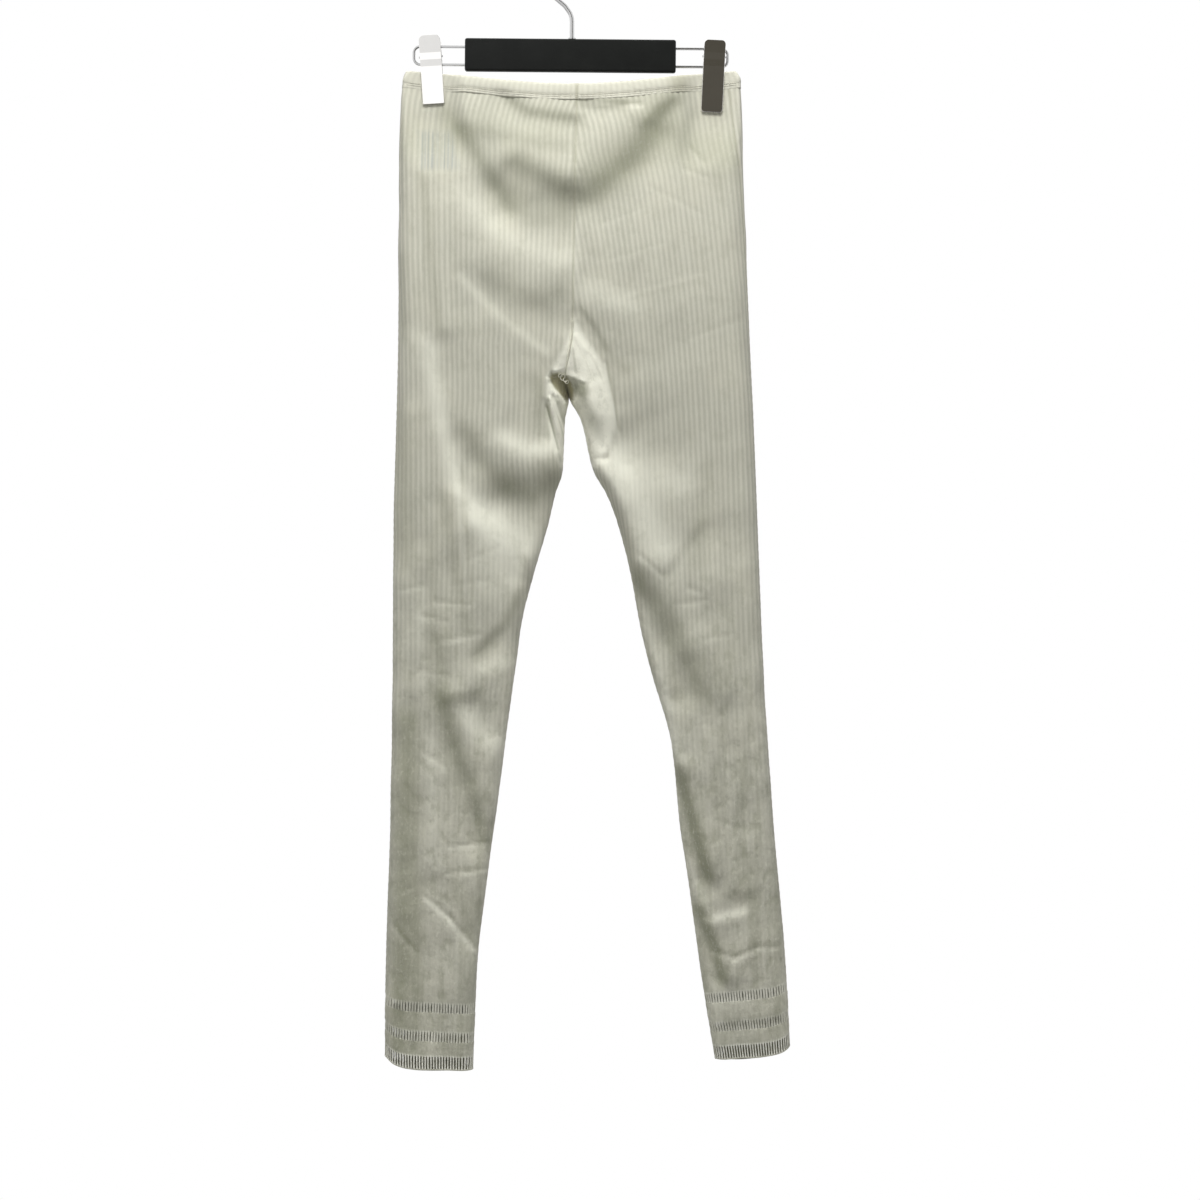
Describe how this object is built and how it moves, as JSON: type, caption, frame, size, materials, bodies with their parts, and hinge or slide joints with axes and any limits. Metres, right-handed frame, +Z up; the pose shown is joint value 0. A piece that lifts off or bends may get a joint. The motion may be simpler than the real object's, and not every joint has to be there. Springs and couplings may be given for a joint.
{
  "type": "leggings hung on a clip hanger",
  "caption": "Ribbed full-length leggings with an elastic waistband and drawn-thread hems, hung flat by the waistband from a wire clip hanger.",
  "frame": {"origin": "inside top of the hanger's hook, where it rests on a rail", "axes": "+Z up, +X to the viewer's right, -Y towards the viewer, out of the side that the picture shows"},
  "size_m": [0.3851, 0.0498, 1.0575],
  "materials": {
    "ribbed_cloth": "fine vertical ribs, cream, soft sheen",
    "band_cloth": "gathered rib over elastic, cream",
    "tag": "smooth woven ribbon, blank",
    "black_plastic": "matt black",
    "bright_wire": "polished",
    "bright_jaw": "polished, brushed a little"
  },
  "bodies": {
    "root": {"front_left_leg": "ribbed_cloth", "front_right_leg": "ribbed_cloth", "back_left_leg": "ribbed_cloth", "back_right_leg": "ribbed_cloth", "waistband": "band_cloth", "care_label": "tag", "hanger_bar": "black_plastic", "wire_loop": "bright_wire", "hook": "bright_wire", "left_clip_front_jaw": "bright_jaw", "left_clip_back_jaw": "bright_jaw", "left_clip_spring": "bright_wire", "right_clip_front_jaw": "bright_jaw", "right_clip_back_jaw": "bright_jaw", "right_clip_spring": "bright_wire"}
  },
  "joints": []
}
